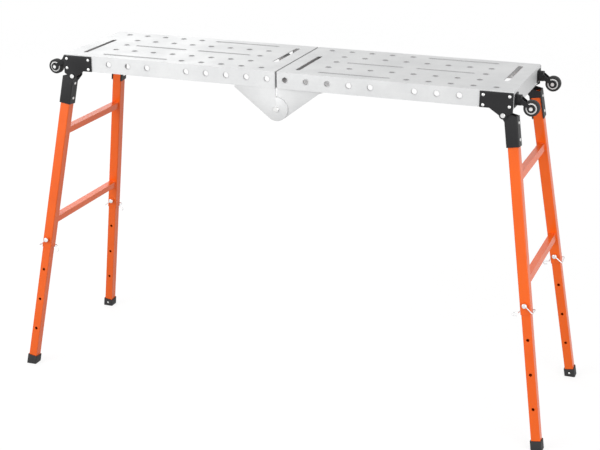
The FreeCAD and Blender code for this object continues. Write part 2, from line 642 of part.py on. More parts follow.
def wheel_tyre():
    """Tyre moulded round the hub, with bevelled edges."""
    rim = HUB_DIAMETER / 2
    tread = WHEEL_DIAMETER / 2
    half = WHEEL_WIDTH / 2
    shoulder = tread - WHEEL_EDGE
    return turned([(rim, half), (shoulder, half), (tread, half - WHEEL_EDGE), (tread, WHEEL_EDGE - half),
                   (shoulder, -half), (rim, -half)])


def both_rows(shape):
    """A piece drawn at the back, and its image at the front."""
    return [shape, mirror_y(shape)]


def build_half(side_name, side):
    """Fixed pieces of one half of the table."""
    inner = side > 0
    pieces = {f"{side_name}_panel": panel(side)}
    group = [r for back in bracket_rivets() for r in both_rows(back)]
    pieces[f"{side_name}_panel_rivets"] = Part.makeCompound(group)
    bolt = pivot_bolt()
    pieces[f"{side_name}_leg_pivot_bolts"] = Part.makeCompound(both_rows(bolt))
    pieces[f"{side_name}_caster_mounts"] = caster_mounts()
    for row_name, row in ROWS.items():
        pieces[f"{side_name}_{row_name}_bracket"] = placed(corner_bracket(), 1, row)
        pieces[f"{side_name}_{row_name}_hinge_leaf"] = placed(hinge_leaf(inner), 1, row)
    if side < 0:
        pieces = {name: mirror_x(shape) for name, shape in pieces.items()}
    return pieces


def build_frame(side_name, side):
    """Leg frame of one half, with its lower legs, feet and lock pins."""
    pieces = {f"{side_name}_upper_rung": rung(side, UPPER_RUNG_DROP),
              f"{side_name}_lower_rung": rung(side, LOWER_RUNG_DROP),
              f"{side_name}_socket_rivets": socket_rivets(side)}
    for row_name, row in ROWS.items():
        corner = f"{side_name}_{row_name}"
        pieces[f"{corner}_leg_socket"] = leg_socket(side, row)
        pieces[f"{corner}_leg"] = outer_leg(side, row)
        pieces[f"{corner}_lower_leg"] = lower_leg(side, row)
        pieces[f"{corner}_foot"] = foot_cap(side, row)
        pieces[f"{corner}_lock_pin"] = lock_pin(side, row)
    return pieces


def build_casters(side_name, side):
    """Forks, axles and wheels of one end's two casters."""
    pieces = {}
    for row_name, row in ROWS.items():
        corner = f"{side_name}_{row_name}"
        pieces[f"{corner}_caster_fork"] = placed(caster_fork(), side, row)
        pieces[f"{corner}_caster_axle"] = placed(caster_axle(), side, row)
        pieces[f"{corner}_wheel_hub"] = placed(wheel_hub(), side, row)
        pieces[f"{corner}_wheel_tyre"] = placed(wheel_tyre(), side, row)
    return pieces


def main():
    """Build every piece and write one STEP file for each."""
    os.makedirs("parts", exist_ok=True)
    pieces = {"hinge_pivot_bolts": hinge_bolts()}
    for side_name, side in SIDES.items():
        pieces.update(build_half(side_name, side))
        pieces.update(build_frame(side_name, side))
        pieces.update(build_casters(side_name, side))
    for name, shape in pieces.items():
        if not shape.isValid():
            print("not valid:", name)
        shape.exportStep(os.path.join("parts", f"{name}.step"))
    print(len(pieces), "pieces")


main()
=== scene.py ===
"""Folding welding table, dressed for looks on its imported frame.

Every length is in metres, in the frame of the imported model: X along the table, Y from its front to its
back, Z up from the floor under its middle.
"""
from __future__ import annotations

import json
import logging
import math
from dataclasses import dataclass, field
from enum import Enum
from typing import Any, Iterable, Iterator

import bmesh
import bpy
from mathutils import Matrix, Vector

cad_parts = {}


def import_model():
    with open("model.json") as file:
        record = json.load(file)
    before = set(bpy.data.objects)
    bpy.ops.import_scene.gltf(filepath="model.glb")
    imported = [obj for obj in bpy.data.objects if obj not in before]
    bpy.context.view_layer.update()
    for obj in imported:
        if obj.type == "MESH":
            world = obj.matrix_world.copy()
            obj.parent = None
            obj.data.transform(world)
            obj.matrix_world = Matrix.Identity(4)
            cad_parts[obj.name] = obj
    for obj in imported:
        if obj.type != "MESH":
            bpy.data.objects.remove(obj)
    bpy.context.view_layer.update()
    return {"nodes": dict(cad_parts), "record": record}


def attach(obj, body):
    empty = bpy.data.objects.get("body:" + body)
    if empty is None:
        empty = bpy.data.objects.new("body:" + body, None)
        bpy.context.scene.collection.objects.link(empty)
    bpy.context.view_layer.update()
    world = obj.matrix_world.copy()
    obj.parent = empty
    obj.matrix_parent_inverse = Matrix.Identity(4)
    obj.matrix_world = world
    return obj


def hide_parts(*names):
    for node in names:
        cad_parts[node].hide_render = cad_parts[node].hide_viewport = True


LOG = logging.getLogger("welding_table")
MERGE = 1e-6

Colour = tuple[float, float, float]
Point = tuple[float, float, float]


class Side(Enum):
    """The two halves of the table."""

    LEFT = -1
    RIGHT = 1

    @property
    def word(self) -> str:
        """Name of the half in the model's node names."""
        return self.name.lower()


class Row(Enum):
    """The two long edges of the table."""

    FRONT = -1
    BACK = 1

    @property
    def word(self) -> str:
        """Name of the edge in the model's node names."""
        return self.name.lower()


def corners() -> Iterator[tuple[Side, Row, str]]:
    """Each corner's half, long edge and name, in the order in which pieces are made."""
    for side in Side:
        for row in Row:
            yield side, row, f"{side.word}_{row.word}"


class Slot(Enum):
    """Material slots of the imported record."""

    PANEL = "panel_grey"
    ORANGE = "leg_orange"
    BRACKET = "bracket_black"
    RIVET = "bright_rivet"
    PIN = "pin_steel"
    FOOT = "foot_rubber"
    TYRE = "tyre_black"
    HUB = "hub_white"
    CASTER = "caster_metal"


class Expr:
    """A shader value that arithmetic can be written with."""

    def __init__(self, graph: "Graph", socket: bpy.types.NodeSocket) -> None:
        """Wrap one output socket of a graph.

        Args:
            graph: The graph that the socket belongs to.
            socket: The output socket.
        """
        self.graph = graph
        self.socket = socket

    def _math(self, operation: str, first: Any, second: Any) -> "Expr":
        """Add one Math node.

        Args:
            operation: The node's operation.
            first: First operand.
            second: Second operand.

        Returns:
            The node's value.
        """
        node = self.graph.node("ShaderNodeMath", {"operation": operation}, {0: first, 1: second})
        return Expr(self.graph, node.outputs[0])

    def __add__(self, other: Any) -> "Expr":
        """Sum of two values."""
        return self._math("ADD", self, other)

    def __radd__(self, other: Any) -> "Expr":
        """Sum with the number first."""
        return self._math("ADD", other, self)

    def __sub__(self, other: Any) -> "Expr":
        """Difference of two values."""
        return self._math("SUBTRACT", self, other)

    def __rsub__(self, other: Any) -> "Expr":
        """Difference with the number first."""
        return self._math("SUBTRACT", other, self)

    def __mul__(self, other: Any) -> "Expr":
        """Product of two values."""
        return self._math("MULTIPLY", self, other)

    def __rmul__(self, other: Any) -> "Expr":
        """Product with the number first."""
        return self._math("MULTIPLY", other, self)

    def step(self, low: float, high: float) -> "Expr":
        """Smooth step from 0 at low to 1 at high.

        Args:
            low: Value that gives 0.
            high: Value that gives 1.

        Returns:
            The stepped value.
        """
        settings = {"interpolation_type": "SMOOTHSTEP"}
        inputs = {"Value": self, "From Min": low, "From Max": high}
        return Expr(self.graph, self.graph.node("ShaderNodeMapRange", settings, inputs).outputs["Result"])


class Graph:
    """Node tree of one material, written as expressions."""

    def __init__(self, name: str) -> None:
        """Start an empty material.

        Args:
            name: Name of the material.
        """
        self.material = bpy.data.materials.new(name)
        self.material.use_nodes = True
        self.tree = self.material.node_tree
        self.tree.nodes.clear()
        self.place = Expr(self, self.node("ShaderNodeTexCoord", {}, {}).outputs["Object"])

    def node(self, kind: str, settings: dict[str, Any], inputs: dict[Any, Any]) -> bpy.types.Node:
        """Add one node, its settings first and then its sockets.

        Args:
            kind: Type of the node.
            settings: Properties of the node.
            inputs: Values or links by socket name or index.

        Returns:
            The new node.
        """
        node = self.tree.nodes.new(kind)
        for key, value in settings.items():
            setattr(node, key, value)
        for key, value in inputs.items():
            if isinstance(value, Expr):
                self.tree.links.new(value.socket, node.inputs[key])
            elif value is not None:
                node.inputs[key].default_value = value
        return node

    def stretched(self, scale: Point) -> Expr:
        """Object coordinates, stretched.

        Args:
            scale: Factor along each axis.

        Returns:
            The new coordinates.
        """
        node = self.node("ShaderNodeMapping", {}, {"Vector": self.place, "Scale": scale})
        return Expr(self, node.outputs[0])

    def noise(self, scale: float, detail: float = 3.0, rough: float = 0.5, at: Expr | None = None) -> Expr:
        """Soft noise.

        Args:
            scale: Features per metre.
            detail: Octaves.
            rough: Strength of the finer octaves.
            at: Coordinates, or none for the piece's own.

        Returns:
            Noise from 0 to 1.
        """
        inputs = {"Vector": at or self.place, "Scale": scale, "Detail": detail, "Roughness": rough}
        return Expr(self, self.node("ShaderNodeTexNoise", {}, inputs).outputs[0])

    def cells(self, scale: float) -> Expr:
        """Distance to the nearest of many scattered points.

        Args:
            scale: Points per metre.

        Returns:
            The distance, 0 at a point.
        """
        inputs = {"Vector": self.place, "Scale": scale}
        return Expr(self, self.node("ShaderNodeTexVoronoi", {}, inputs).outputs[0])

    def axis(self, index: int) -> Expr:
        """One coordinate of the piece.

        Args:
            index: 0 for X, 1 for Y, 2 for Z.

        Returns:
            The coordinate in metres.
        """
        return Expr(self, self.node("ShaderNodeSeparateXYZ", {}, {0: self.place}).outputs[index])

    def mix(self, factor: Expr, first: Any, second: Any) -> Expr:
        """Blend of two colours.

        Args:
            factor: 0 for the first colour, 1 for the second.
            first: Colour or expression.
            second: Colour or expression.

        Returns:
            The blended colour.
        """
        def ready(value: Any) -> Any:
            """Colour with its alpha."""
            return value if isinstance(value, Expr) else (*value, 1.0)
        inputs = {0: factor, 6: ready(first), 7: ready(second)}
        return Expr(self, self.node("ShaderNodeMix", {"data_type": "RGBA"}, inputs).outputs[2])

    def bump(self, height: Expr, strength: float, distance: float, under: Expr | None = None) -> Expr:
        """Normal bent by a height.

        Args:
            height: Height from 0 to 1.
            strength: Strength of the effect.
            distance: Height of 1 in metres.
            under: A bump below this one.

        Returns:
            The bent normal.
        """
        inputs = {"Strength": strength, "Distance": distance, "Height": height, "Normal": under}
        return Expr(self, self.node("ShaderNodeBump", {}, inputs).outputs[0])

    def close(self, **inputs: Any) -> bpy.types.Material:
        """End the graph in a Principled shader.

        Args:
            inputs: Values by socket name, with _ for a space.

        Returns:
            The material.
        """
        sockets = {key.replace("_", " "): value for key, value in inputs.items()}
        shader = self.node("ShaderNodeBsdfPrincipled", {}, sockets)
        self.node("ShaderNodeOutputMaterial", {}, {"Surface": Expr(self, shader.outputs[0])})
        return self.material


@dataclass(frozen=True)
class GalvanisedSheet:
    """Bright zinc-coated sheet with a rolled grain, with painted shade under the top, in its bores and in
    the seam, where it is darker, less metallic and rougher.
    """

    name: str = "galvanised_sheet"
    pale: Colour = (0.74, 0.745, 0.745)
    dull: Colour = (0.63, 0.635, 0.64)
    # painted shade: a darker colour that stands in for the shade inside the pans, in the bores and in the
    # seam
    inner: Colour = (0.41, 0.41, 0.415)
    metal: float = 0.45
    # painted shade: a low metallic value for the same shaded faces, so they reflect less light
    inner_metal: float = 0.08
    cloud_scale: float = 9.0
    spangle_scale: float = 160.0
    grain: Point = (6.0, 420.0, 420.0)
    outer_faces: Point = (0.680, 0.176, 0.996)
    skin: tuple[float, float] = (0.0013, 0.0017)
    apron_skin: tuple[float, float] = (0.0030, 0.0040)
    # painted shade rises over this height band, from the aprons' lower edges up to just under the top
    inner_fade: tuple[float, float] = (0.948, 0.966)
    # painted shade at the seam: faces this close to the middle of the table, in the gap between the two
    # pans
    seam: tuple[float, float] = (0.0028, 0.0036)

    def inside(self, graph: Graph) -> Expr:
        """Mask of the painted shade on the faces inside the pans, which deepens from the aprons' lower
        edges up.

        Args:
            graph: The graph that the mask is for.

        Returns:
            1 inside the pans and between them at the seam, 0 on their outer skin and on the aprons.
        """
        along, across, up = (graph.axis(index) for index in range(3))
        mask = up.step(*self.inner_fade)
        skins = (self.skin, self.apron_skin, self.skin)
        for place, face, skin in zip((along, across, up), self.outer_faces, skins):
            limits = ((face - skin[1]) ** 2, (face - skin[0]) ** 2)
            mask = mask * (1.0 - (place * place).step(*limits))
        # painted shade at the seam, on the faces in the gap between the two pans
        seam = 1.0 - (along * along).step(self.seam[0] ** 2, self.seam[1] ** 2)
        seam = seam * up.step(self.inner_fade[0], self.inner_fade[0] + self.skin[1])
        return 1.0 - (1.0 - mask) * (1.0 - seam)

    def make(self) -> bpy.types.Material:
        """Build the material."""
        graph = Graph(self.name)
        clouds = graph.noise(self.cloud_scale, 4.0, 0.55)
        rolled = graph.noise(1.0, 2.0, 0.5, graph.stretched(self.grain))
        spangle = graph.cells(self.spangle_scale)
        # painted shade mask: 1 on the faces inside the pans, in the bores and in the seam, where shade
        # falls
        inside = self.inside(graph)
        shade = clouds.step(0.3, 0.72) * 0.6 + rolled * 0.25 + spangle * 0.15
        outside = graph.mix(shade, self.pale, self.dull)
        # painted shade: the colour darkens towards the shaded colour by the mask, roughness rises and
        # metallic falls with it
        colour = graph.mix(inside * (0.85 + shade * 0.15), outside, self.inner)
        rough = 0.38 + clouds * 0.12 + rolled * 0.08 + inside * 0.2
        normal = graph.bump(rolled, 0.08, 0.0004, graph.bump(clouds, 0.05, 0.002))
        metal = self.metal - inside * (self.metal - self.inner_metal)
        return graph.close(Base_Color=colour, Metallic=metal, Roughness=rough, Normal=normal)


@dataclass(frozen=True)
class PowderCoat:
    """Sprayed powder coat with orange peel, thinner and darker along scuffs."""

    name: str
    colour: Colour
    deep: Colour
    rough: float = 0.34
    coat: float = 0.24
    shine: float = 0.3
    peel: float = 700.0
    peel_strength: float = 0.12
    coat_rough: float = 0.12
    cloud_scale: float = 6.0
    speck_scale: float = 2400.0
    scuff_scale: float = 38.0

    def make(self) -> bpy.types.Material:
        """Build the material."""
        graph = Graph(self.name)
        clouds = graph.noise(self.cloud_scale, 3.0, 0.6)
        peel = graph.noise(self.peel, 2.0, 0.5)
        specks = graph.noise(self.speck_scale, 1.0, 0.4).step(0.7, 0.8)
        scuff = graph.noise(self.scuff_scale, 6.0, 0.7).step(0.64, 0.8)
        shade = clouds.step(0.25, 0.8) * 0.7 + specks * 0.12 + scuff * 0.18
        colour = graph.mix(shade, self.colour, self.deep)
        rough = self.rough + clouds * 0.06 + scuff * 0.1
        normal = graph.bump(peel, self.peel_strength, 0.0005)
        return graph.close(Base_Color=colour, Roughness=rough, Normal=normal, Coat_Weight=self.coat,
                           Coat_Roughness=self.coat_rough, Specular_IOR_Level=self.shine)


@dataclass(frozen=True)
class PlatedSteel:
    """Zinc or nickel plated steel with fine turning marks."""

    name: str
    colour: Colour
    dull: Colour
    rough: float
    patch_scale: float = 120.0
    mark_scale: float = 1500.0

    def make(self) -> bpy.types.Material:
        """Build the material."""
        graph = Graph(self.name)
        patches = graph.noise(self.patch_scale, 4.0, 0.6)
        marks = graph.noise(self.mark_scale, 2.0, 0.5)
        colour = graph.mix(patches.step(0.35, 0.75), self.colour, self.dull)
        rough = self.rough + patches * 0.14 + marks * 0.05
        normal = graph.bump(marks, 0.06, 0.0002)
        return graph.close(Base_Color=colour, Metallic=1.0, Roughness=rough, Normal=normal)


@dataclass(frozen=True)
class Moulded:
    """Moulded rubber or plastic with a fine skin and light dust."""

    name: str
    colour: Colour
    dusty: Colour
    rough: float
    grain: float = 1400.0
    dust_scale: float = 70.0

    def make(self) -> bpy.types.Material:
        """Build the material."""
        graph = Graph(self.name)
        skin = graph.noise(self.grain, 3.0, 0.6)
        dust = graph.noise(self.dust_scale, 5.0, 0.65).step(0.5, 0.8)
        colour = graph.mix(dust * 0.5, self.colour, self.dusty)
        rough = self.rough + dust * 0.1 + skin * 0.06
        normal = graph.bump(skin, 0.18, 0.0004)
        return graph.close(Base_Color=colour, Roughness=rough, Normal=normal)


FINISHES: dict[Slot, Any] = {
    Slot.PANEL: GalvanisedSheet(),
    Slot.ORANGE: PowderCoat("orange_powder_coat", (0.93, 0.135, 0.006), (0.83, 0.108, 0.004)),
    Slot.BRACKET: PowderCoat("black_bracket_coat", (0.013, 0.013, 0.014), (0.022, 0.022, 0.023),
                             rough=0.46, coat=0.0, shine=0.26, peel=1100.0, peel_strength=0.2),
    Slot.RIVET: PlatedSteel("zinc_fastener", (0.78, 0.78, 0.77), (0.62, 0.62, 0.62), 0.24),
    Slot.PIN: PlatedSteel("bright_pin_wire", (0.80, 0.80, 0.81), (0.66, 0.66, 0.67), 0.18),
    Slot.FOOT: Moulded("foot_rubber", (0.016, 0.016, 0.017), (0.046, 0.045, 0.043), 0.66),
    Slot.TYRE: Moulded("tyre_rubber", (0.010, 0.010, 0.010), (0.026, 0.025, 0.025), 0.60),
    Slot.HUB: Moulded("white_hub", (0.82, 0.82, 0.81), (0.70, 0.69, 0.67), 0.34, grain=900.0),
    Slot.CASTER: PowderCoat("caster_coat", (0.010, 0.010, 0.011), (0.018, 0.018, 0.019),
                            rough=0.42, coat=0.0, shine=0.24, peel=1000.0, peel_strength=0.15),
}


@dataclass
class Wardrobe:
    """The finishes, made once and given to nodes and pieces."""

    made: dict[Slot, bpy.types.Material] = field(default_factory=dict)

    def get(self, slot: Slot) -> bpy.types.Material:
        """Finish of a slot.

        Args:
            slot: The material slot.

        Returns:
            Its material, made on first use.
        """
        if slot not in self.made:
            self.made[slot] = FINISHES[slot].make()
        return self.made[slot]

    def dress_nodes(self, nodes: dict[str, bpy.types.Object], record: dict[str, Any]) -> None:
        """Give every carried-over node its finish.

        Args:
            nodes: The frame's objects by node name.
            record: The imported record.
        """
        for entry in record["subparts"]:
            thing = nodes[entry["node"]]
            thing.data.materials.clear()
            thing.data.materials.append(self.get(Slot(entry["material_slot"])))
            LOG.info("node %s takes %s", entry["node"], entry["material_slot"])

    def finish_piece(self, shape: bmesh.types.BMesh, name: str, slot: Slot, body: str,
                     smooth_angle: float = 40.0) -> bpy.types.Object:
        """Turn a bmesh into a dressed piece that rides on a body.

        Args:
            shape: The mesh, which is freed.
            name: Name of the piece.
            slot: Its material slot.
            body: The body that it rides on.
            smooth_angle: Edges sharper than this, in degrees, stay sharp.

        Returns:
            The new object.
        """
        bmesh.ops.remove_doubles(shape, verts=shape.verts, dist=MERGE)
        bmesh.ops.recalc_face_normals(shape, faces=shape.faces)
        mesh = bpy.data.meshes.new(name)
        for face in shape.faces:
            face.smooth = True
        limit = math.radians(smooth_angle)
        for edge in shape.edges:
            edge.smooth = len(edge.link_faces) == 2 and edge.calc_face_angle(0.0) < limit
        shape.to_mesh(mesh)
        shape.free()
        piece = bpy.data.objects.new(name, mesh)
        bpy.context.scene.collection.objects.link(piece)
        mesh.materials.append(self.get(slot))
        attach(piece, body)
        LOG.info("piece %s: %d faces on %s", name, len(mesh.polygons), body)
        return piece


def lathe(profile: Iterable[tuple[float, float]], steps: int, closed: bool) -> bmesh.types.BMesh:
    """Shape turned round the Z axis.

    Args:
        profile: Points as (radius, height), in order.
        steps: Steps of the full turn.
        closed: Whether the last point joins the first.

    Returns:
        The turned mesh.
    """
    shape = bmesh.new()
    points = [shape.verts.new((radius, 0.0, height)) for radius, height in profile]
    edges = [shape.edges.new(pair) for pair in zip(points, points[1:])]
    if closed:
        edges.append(shape.edges.new((points[-1], points[0])))
    bmesh.ops.spin(shape, geom=[*points, *edges], cent=(0, 0, 0), axis=(0, 0, 1), angle=math.tau,
                   steps=steps, use_merge=True, use_duplicate=False)
    bmesh.ops.remove_doubles(shape, verts=shape.verts, dist=MERGE)
    return shape


def add_copy(target: bmesh.types.BMesh, source: bmesh.types.BMesh, place: Matrix) -> None:
    """Add a placed copy of one mesh to another.

    Args:
        target: The mesh that grows.
        source: The mesh that is copied.
        place: Where the copy goes.
    """
    mesh = bpy.data.meshes.new("copy")
    source.to_mesh(mesh)
    mesh.transform(place)
    target.from_mesh(mesh)
    bpy.data.meshes.remove(mesh)


@dataclass
class LegFrame:
    """Geometry of a leg frame: where its legs lean and splay."""

    pivot: tuple[float, float] = (0.654, 0.9305)
    offset: float = 0.018
    side_reach: float = 0.155
    lean: float = math.radians(8.6)
    splay: float = math.radians(6.0)

    def frame_place(self, side: Side) -> Matrix:
        """Where a frame drawn upright, with x outwards from its pivot, hangs.

        Args:
            side: The half of the table.

        Returns:
            The placing matrix, a mirror image on the left.
        """
        pivot = Matrix.Translation((self.pivot[0], 0.0, self.pivot[1]))
        place = pivot @ Matrix.Rotation(-self.lean, 4, "Y")
        return place if side is Side.RIGHT else Matrix.Diagonal((-1, 1, 1, 1)) @ place

    def leg_place(self, side: Side, row: Row) -> Matrix:
        """Where a leg drawn upright round its axis hangs.

        Args:
            side: The half of the table.
            row: The long edge.

        Returns:
            The placing matrix.
        """
        inside = Matrix.Translation((self.offset, row.value * self.side_reach, 0.0))
        return self.frame_place(side) @ inside @ Matrix.Rotation(row.value * self.splay, 4, "X")


@dataclass
class FixturePattern:
    """Pressed rims round the fixture holes of the top and of the aprons, and round the long slots."""

    half_width: float = 0.176
    top: float = 0.996
    panel_middle: float = 0.34075
    pitch: float = 0.063
    row_pitch: float = 0.070
    edge_start: float = 0.2835
    hole_radius: float = 0.008
    slot_radius: float = 0.004
    edge_slot: tuple[float, float] = (0.121, 0.208)
    centre_slot: tuple[float, float] = (0.104, 0.168)
    hole_steps: int = 28
    slot_steps: int = 26
    rim_width: float = 0.0022
    rim_height: float = 0.0007
    collar: float = 0.0042
    collar_wall: float = 0.0008
    lining: float = 0.0002
    throat: float = 0.0006
    roll: tuple[tuple[float, float], ...] = ((1.0, 0.0), (0.7, 0.7), (0.35, 1.0), (0.0, 0.5))
    row_holes: int = 8
    edge_holes: int = 5
    rim_skin: tuple[float, float] = (-0.0006, -0.0002)
    apron_start: float = 0.0275
    apron_drop: float = 0.022
    apron_steps: tuple[int, ...] = (0, 1, 2, 3, 4, 6, 7, 8)

    def rim(self, radius: float, steps: int) -> bmesh.types.BMesh:
        """One rolled rim that lips over the sheet on the plane z = 0 and ends in a short collar below it.

        Args:
            radius: Radius of the hole.
            steps: Steps of the full turn.

        Returns:
            The rim's mesh.
        """
        inner = radius - self.lining
        back = radius + self.collar_wall
        roll = [(radius + self.rim_width * across, self.rim_height * up) for across, up in self.roll]
        collar = [(inner, -self.throat), (inner, -self.collar), (back, -self.collar), (back, -self.lining)]
        return lathe([*roll, *collar], steps, True)

    def slot_rim(self, length: float) -> bmesh.types.BMesh:
        """Rim of a long slot along X: a round rim whose halves are drawn apart.

        Args:
            length: Length of the slot over its round ends.

        Returns:
            The rim's mesh.
        """
        shape = self.rim(self.slot_radius, self.slot_steps)
        reach = length / 2 - self.slot_radius
        for sign in (-1, 1):
            half = [vert for vert in shape.verts if vert.co.x * sign > 0]
            bmesh.ops.translate(shape, vec=(sign * reach, 0.0, 0.0), verts=half)
        return shape

    def top_places(self) -> list[tuple[float, float]]:
        """Hole centres of one panel, from its middle."""
        middle = [(k - (self.row_holes - 1) / 2) * self.pitch for k in range(self.row_holes)]
        places: list[tuple[float, float]] = []
        for sign in (-1, 1):
            places += [(sign * (k * self.pitch - self.edge_start), sign * 2 * self.row_pitch)
                       for k in range(self.edge_holes)]
            places += [(x, sign * self.row_pitch) for x in middle]
            places.append((sign * middle[-1], 0.0))
        return places

    def dress(self, wardrobe: Wardrobe) -> None:
        """Add the rims of both panels.

        Args:
            wardrobe: Maker of the pieces.
        """
        # painted shade in the bores: this sheet darkens each rim's collar below the sheet's surface and
        # leaves the crest of its rolled lip pale
        sheet = GalvanisedSheet("galvanised_rims", skin=self.rim_skin, apron_skin=self.rim_skin).make()
        rim = self.rim(self.hole_radius, self.hole_steps)
        edge_rim = self.slot_rim(self.edge_slot[1])
        centre_rim = self.slot_rim(self.centre_slot[1])
        for side in Side:
            shape = bmesh.new()
            for sign in (-1, 1):
                x = side.value * self.panel_middle
                edge_spot = (x + sign * self.edge_slot[0], sign * 2 * self.row_pitch, self.top)
                add_copy(shape, edge_rim, Matrix.Translation(edge_spot))
                centre_spot = (x + sign * self.centre_slot[0], 0.0, self.top)
                add_copy(shape, centre_rim, Matrix.Translation(centre_spot))
            for x, y in self.top_places():
                spot = Matrix.Translation((side.value * self.panel_middle + x, y, self.top))
                add_copy(shape, rim, spot)
            for step in self.apron_steps:
                x = side.value * (self.apron_start + step * self.pitch)
                for row in Row:
                    stand = Matrix.Rotation(-row.value * math.pi / 2, 4, "X")
                    spot = Matrix.Translation((x, row.value * self.half_width, self.top - self.apron_drop))
                    add_copy(shape, rim, spot @ stand)
            piece = wardrobe.finish_piece(shape, f"{side.word}_hole_rims", Slot.PANEL, f"{side.word}_half",
                                          smooth_angle=60.0)
            piece.data.materials[0] = sheet
        for spare in (rim, edge_rim, centre_rim):
            spare.free()


@dataclass
class RivetHeads:
    """Domed rivets of the corner brackets and of the leg sockets."""

    frame: LegFrame
    face: float = 0.179
    places: tuple[tuple[float, float], ...] = (
        (0.598, 0.983), (0.670, 0.983), (0.598, 0.955), (0.670, 0.955))
    head_radius: float = 0.0045
    head_height: float = 0.0022
    head_edge: float = 0.0004
    dome_steps: int = 6
    steps: int = 20
    shank_radius: float = 0.0025
    grip: float = 0.005
    tail_radius: float = 0.0035
    tail_taper: float = 0.8
    tail: float = 0.0015
    socket_face: float = 0.018
    socket_drops: tuple[float, float] = (0.027, 0.073)
    socket_grip: float = 0.0045

    def rivet(self, grip: float, tail: float) -> bmesh.types.BMesh:
        """One domed rivet along Z, its head standing on z = 0.

        Args:
            grip: Length of the shank below the head.
            tail: Height of the upset tail, or 0 for none.

        Returns:
            The rivet's mesh.
        """
        crown = self.head_height - self.head_edge
        turns = [k * math.pi / (2 * self.dome_steps) for k in range(self.dome_steps)]
        dome = [(self.head_radius * math.cos(t), self.head_edge + crown * math.sin(t)) for t in turns]
        profile = [(0.0, self.head_height), *reversed(dome), (self.head_radius, 0.0),
                   (self.shank_radius, 0.0), (self.shank_radius, -grip)]
        if tail > 0:
            profile += [(self.tail_radius, -grip), (self.tail_radius * self.tail_taper, -grip - tail)]
            profile.append((0.0, -grip - tail))
        else:
            profile.append((0.0, -grip))
        return lathe(profile, self.steps, False)

    def dress(self, wardrobe: Wardrobe) -> None:
        """Replace the plain rivets with domed ones.

        Args:
            wardrobe: Maker of the pieces.
        """
        bracket_rivet = self.rivet(self.grip, self.tail)
        socket_rivet = self.rivet(self.socket_grip, 0.0)
        for side in Side:
            shape = bmesh.new()
            for x, z in self.places:
                for row in Row:
                    stand = Matrix.Rotation(-row.value * math.pi / 2, 4, "X")
                    spot = Matrix.Translation((side.value * x, row.value * self.face, z))
                    add_copy(shape, bracket_rivet, spot @ stand)
            piece = wardrobe.finish_piece(shape, f"{side.word}_bracket_rivets", Slot.RIVET,
                                          f"{side.word}_half")
            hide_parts(f"{side.word}_panel_rivets")
            shape = bmesh.new()
            for row in Row:
                for drop in self.socket_drops:
                    for wall in (-1, 1):
                        stand = Matrix.Rotation(wall * math.pi / 2, 4, "Y")
                        local = Matrix.Translation((wall * self.socket_face, 0.0, -drop)) @ stand
                        add_copy(shape, socket_rivet, self.frame.leg_place(side, row) @ local)
            piece = wardrobe.finish_piece(shape, f"{side.word}_sleeve_rivets", Slot.RIVET,
                                          f"{side.word}_frame")
            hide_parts(f"{side.word}_socket_rivets")
        bracket_rivet.free()
        socket_rivet.free()


@dataclass
class RungWelds:
    """Painted weld beads where the rungs meet the legs."""

    frame: LegFrame
    drops: tuple[float, float] = (0.179, 0.466)
    half_rung: float = 0.010
    half_leg: float = 0.015
    bead: float = 0.0021
    stand_off: float = 0.0013
    along_edge: int = 6
    proud: float = 0.1
    flatten: Point = (1.0, 0.9, 1.0)
    swell: float = 0.18
    ripple: float = 7.0
    ripple_shift: float = 900.0

    def bead_ring(self) -> bmesh.types.BMesh:
        """Ring of overlapping beads round a rung's square end, on the plane y = 0."""
        shape = bmesh.new()
        half = self.half_rung + self.bead * self.proud
        square = [Vector((x * half, 0.0, z * half)) for x, z in ((-1, -1), (1, -1), (1, 1), (-1, 1))]
        for start, end in zip(square, square[1:] + square[:1]):
            for k in range(self.along_edge):
                share = k / self.along_edge
                swell = 1.0 + self.swell * math.sin(self.ripple * share + start.x * self.ripple_shift)
                place = Matrix.Translation(start.lerp(end, share)) @ Matrix.Scale(swell, 4)
                made = bmesh.ops.create_icosphere(shape, subdivisions=2, radius=self.bead, matrix=place)
                bmesh.ops.scale(shape, vec=self.flatten, verts=made["verts"])
        return shape

    def dress(self, wardrobe: Wardrobe) -> None:
        """Add the beads of every rung end.

        Args:
            wardrobe: Maker of the pieces.
        """
        ring = self.bead_ring()
        for side in Side:
            shape = bmesh.new()
            for drop in self.drops:
                for row in Row:
                    splay = self.frame.splay
                    reach = self.frame.side_reach + drop * math.tan(splay) - self.half_leg / math.cos(splay)
                    reach -= self.stand_off
                    tilt = Matrix.Rotation(row.value * splay, 4, "X")
                    spot = Matrix.Translation((self.frame.offset, row.value * reach, -drop))
                    add_copy(shape, ring, self.frame.frame_place(side) @ spot @ tilt)
            wardrobe.finish_piece(shape, f"{side.word}_rung_welds", Slot.ORANGE, f"{side.word}_frame",
                                  smooth_angle=80.0)
        ring.free()


@dataclass
class FootRivets:
    """Small rivets that hold the feet, one on the face of each that looks at the other leg of its frame."""

    frame: LegFrame
    drop: float = 0.935
    half_foot: float = 0.01605
    radius: float = 0.003
    height: float = 0.0012
    dome: tuple[tuple[float, float], ...] = (
        (0.0, 1.0), (0.45, 0.92), (0.8, 0.6), (1.0, 0.1), (1.0, -0.5), (0.0, -0.5))
    steps: int = 24

    def head(self) -> bmesh.types.BMesh:
        """One domed head along Z, sunk a little below z = 0."""
        points = [(self.radius * across, self.height * up) for across, up in self.dome]
        return lathe(points, self.steps, False)

    def dress(self, wardrobe: Wardrobe) -> None:
        """Add the rivet of every foot.

        Args:
            wardrobe: Maker of the pieces.
        """
        head = self.head()
        for side, row, corner in corners():
            shape = bmesh.new()
            spot = Matrix.Translation((0.0, -row.value * self.half_foot, -self.drop))
            turn = Matrix.Rotation(row.value * math.pi / 2, 4, "X")
            add_copy(shape, head, self.frame.leg_place(side, row) @ spot @ turn)
            wardrobe.finish_piece(shape, f"{corner}_foot_rivet", Slot.RIVET, f"{corner}_lower_leg")
        head.free()


